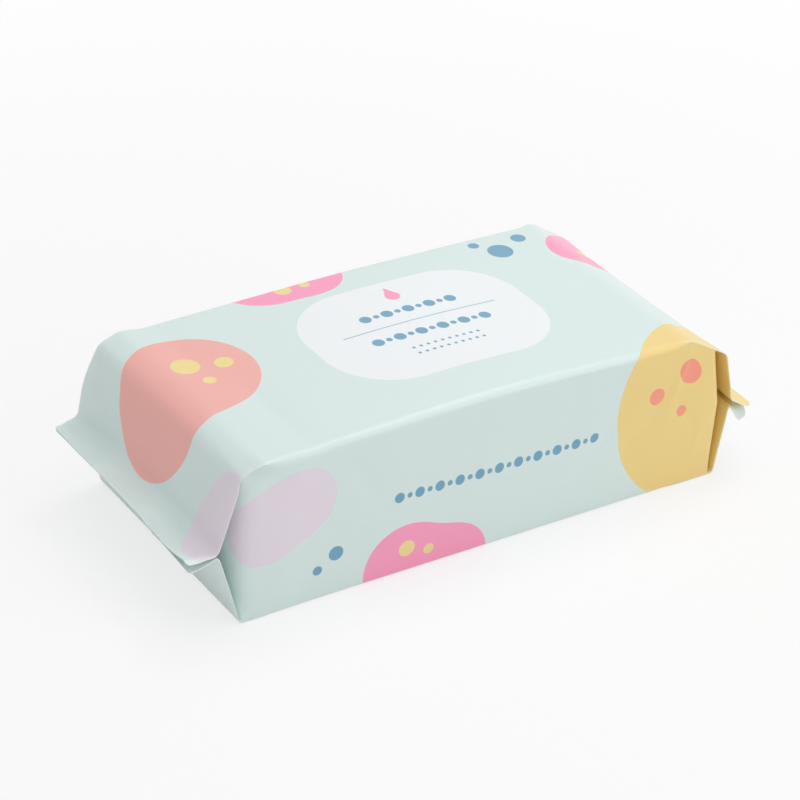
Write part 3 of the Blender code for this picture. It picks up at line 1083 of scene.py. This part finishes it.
def seen_directly(tree):
    """1 for rays from the camera, also by way of a gloss or glass, and 0 for light on the pack."""
    path = add_node(tree, "ShaderNodeLightPath").outputs
    rays = ("Is Camera Ray", "Is Glossy Ray", "Is Transmission Ray")
    return chain_of(tree, "MAXIMUM", *[path[ray] for ray in rays])


def floor_material():
    """Seamless white paper, matt and uncoated.

    The camera sees it near white round the pack, with the pack's shadow, and white further off.
    """
    material = bpy.data.materials.new("studio_paper")
    material.use_nodes = True
    tree = material.node_tree
    shader = tree.nodes["Principled BSDF"]
    shader.inputs["Base Color"].default_value = (0.9, 0.9, 0.9, 1.0)
    shader.inputs["Roughness"].default_value = 0.9
    shader.inputs["Specular IOR Level"].default_value = 0.1
    glow = add_node(tree, "ShaderNodeEmission", {"Color": (1, 1, 1, 1), "Strength": 1.0})
    place = add_node(tree, "ShaderNodeTexCoord").outputs["Object"]
    distance = vector_of(tree, "LENGTH", place, output=1)
    far = range_of(
        tree, distance, GLOW_FROM, GLOW_TO, NEAR_GLOW, FAR_GLOW, interpolation_type="SMOOTHSTEP")
    share = math_of(tree, "MULTIPLY", seen_directly(tree), far)
    mix = add_node(tree, "ShaderNodeMixShader", {
        0: share, 1: shader.outputs[0], 2: glow.outputs[0]})
    tree.links.new(mix.outputs[0], tree.nodes["Material Output"].inputs["Surface"])
    return material


def add_floor(size):
    mesh = bmesh.new()
    bmesh.ops.create_grid(mesh, x_segments=1, y_segments=1, size=size / 2)
    floor = object_from(mesh, "studio_floor", floor_material())


def add_lamp(lamp):
    light = bpy.data.lights.new(lamp.name, "AREA")
    light.shape = "SQUARE"
    light.size = lamp.size
    light.energy = lamp.power
    holder = bpy.data.objects.new(lamp.name, light)
    holder.location = lamp.place
    way = LAMP_TARGET - Vector(lamp.place)
    holder.rotation_euler = way.to_track_quat("-Z", "Y").to_euler()
    bpy.context.scene.collection.objects.link(holder)


def set_world(strength):
    """Even white light, which the camera and mirrors see as white."""
    world = bpy.data.worlds.new("studio_world")
    bpy.context.scene.world = world
    world.use_nodes = True
    tree = world.node_tree
    background = tree.nodes["Background"]
    background.inputs["Color"].default_value = (1.0, 1.0, 1.0, 1.0)
    gain = math_of(tree, "MULTIPLY", seen_directly(tree), 1.0 - strength)
    tree.links.new(math_of(tree, "ADD", gain, strength), background.inputs["Strength"])


# Camera, found by fitting the block's corners in the photograph
CAMERA_TURN = math.radians(-33.79)
CAMERA_TILT = math.radians(30.50)
CAMERA_ROLL = math.radians(2.86)
CAMERA_DISTANCE = 1004.9 * MM
CAMERA_AIM = (-3.75 * MM, 28.29 * MM)


def add_camera(lens):
    back = Vector((
        math.sin(CAMERA_TURN) * math.cos(CAMERA_TILT),
        -math.cos(CAMERA_TURN) * math.cos(CAMERA_TILT),
        math.sin(CAMERA_TILT),
    ))
    level_right = Vector((math.cos(CAMERA_TURN), math.sin(CAMERA_TURN), 0.0))
    level_up = back.cross(level_right)
    right = level_right * math.cos(CAMERA_ROLL) + level_up * math.sin(CAMERA_ROLL)
    up = back.cross(right)
    aim = right * CAMERA_AIM[0] + up * CAMERA_AIM[1]
    camera_data = bpy.data.cameras.new("camera")
    camera_data.sensor_width = 36.0
    camera_data.lens = lens
    camera = bpy.data.objects.new("camera", camera_data)
    turn = Matrix((right, up, back)).transposed().to_4x4()
    camera.matrix_world = Matrix.Translation(aim + back * CAMERA_DISTANCE) @ turn
    bpy.context.scene.collection.objects.link(camera)
    bpy.context.scene.camera = camera


class TOWELPACK_OT_set_stage(bpy.types.Operator):
    """Lay the floor and set the lamps, the world and the camera"""
    bl_idname = "towelpack.set_stage"
    bl_label = "Set Stage"

    def execute(self, context):
        scene = context.scene
        settings = scene.towel_stage
        add_floor(settings.floor_size)
        for lamp in LAMPS:
            add_lamp(lamp)
        set_world(settings.world_strength)
        add_camera(settings.lens)
        scene.view_settings.view_transform = "Standard"
        return {"FINISHED"}


class TOWELPACK_PT_panel(bpy.types.Panel):
    """Sizes, colours and steps of the towel pack"""
    bl_idname = "TOWELPACK_PT_panel"
    bl_label = "Towel Pack"
    bl_space_type = "VIEW_3D"
    bl_region_type = "UI"
    bl_category = "Towel Pack"

    def draw(self, context):
        scene = context.scene
        for group in (scene.towel_wrap_sizes, scene.towel_wrap_colours, scene.towel_stage):
            box = self.layout.box()
            for name in group.__annotations__:
                box.prop(group, name)
        for operator in OPERATORS:
            self.layout.operator(operator.bl_idname)


OPERATORS = (TOWELPACK_OT_add_film_wrap, TOWELPACK_OT_add_back_seam, TOWELPACK_OT_set_stage)
GROUPS = {
    "towel_wrap_sizes": WrapSizes,
    "towel_wrap_colours": WrapColours,
    "towel_stage": StageSettings,
}
CLASSES = (*GROUPS.values(), *OPERATORS, TOWELPACK_PT_panel)


def register():
    for kind in CLASSES:
        bpy.utils.register_class(kind)
    for name, group in GROUPS.items():
        setattr(bpy.types.Scene, name, PointerProperty(type=group))


def unregister():
    for name in GROUPS:
        delattr(bpy.types.Scene, name)
    for kind in reversed(CLASSES):
        bpy.utils.unregister_class(kind)


def main():
    register()
    bpy.ops.towelpack.add_film_wrap()
    bpy.ops.towelpack.add_back_seam()
    bpy.ops.towelpack.set_stage()


if __name__ == "__main__":
    main()
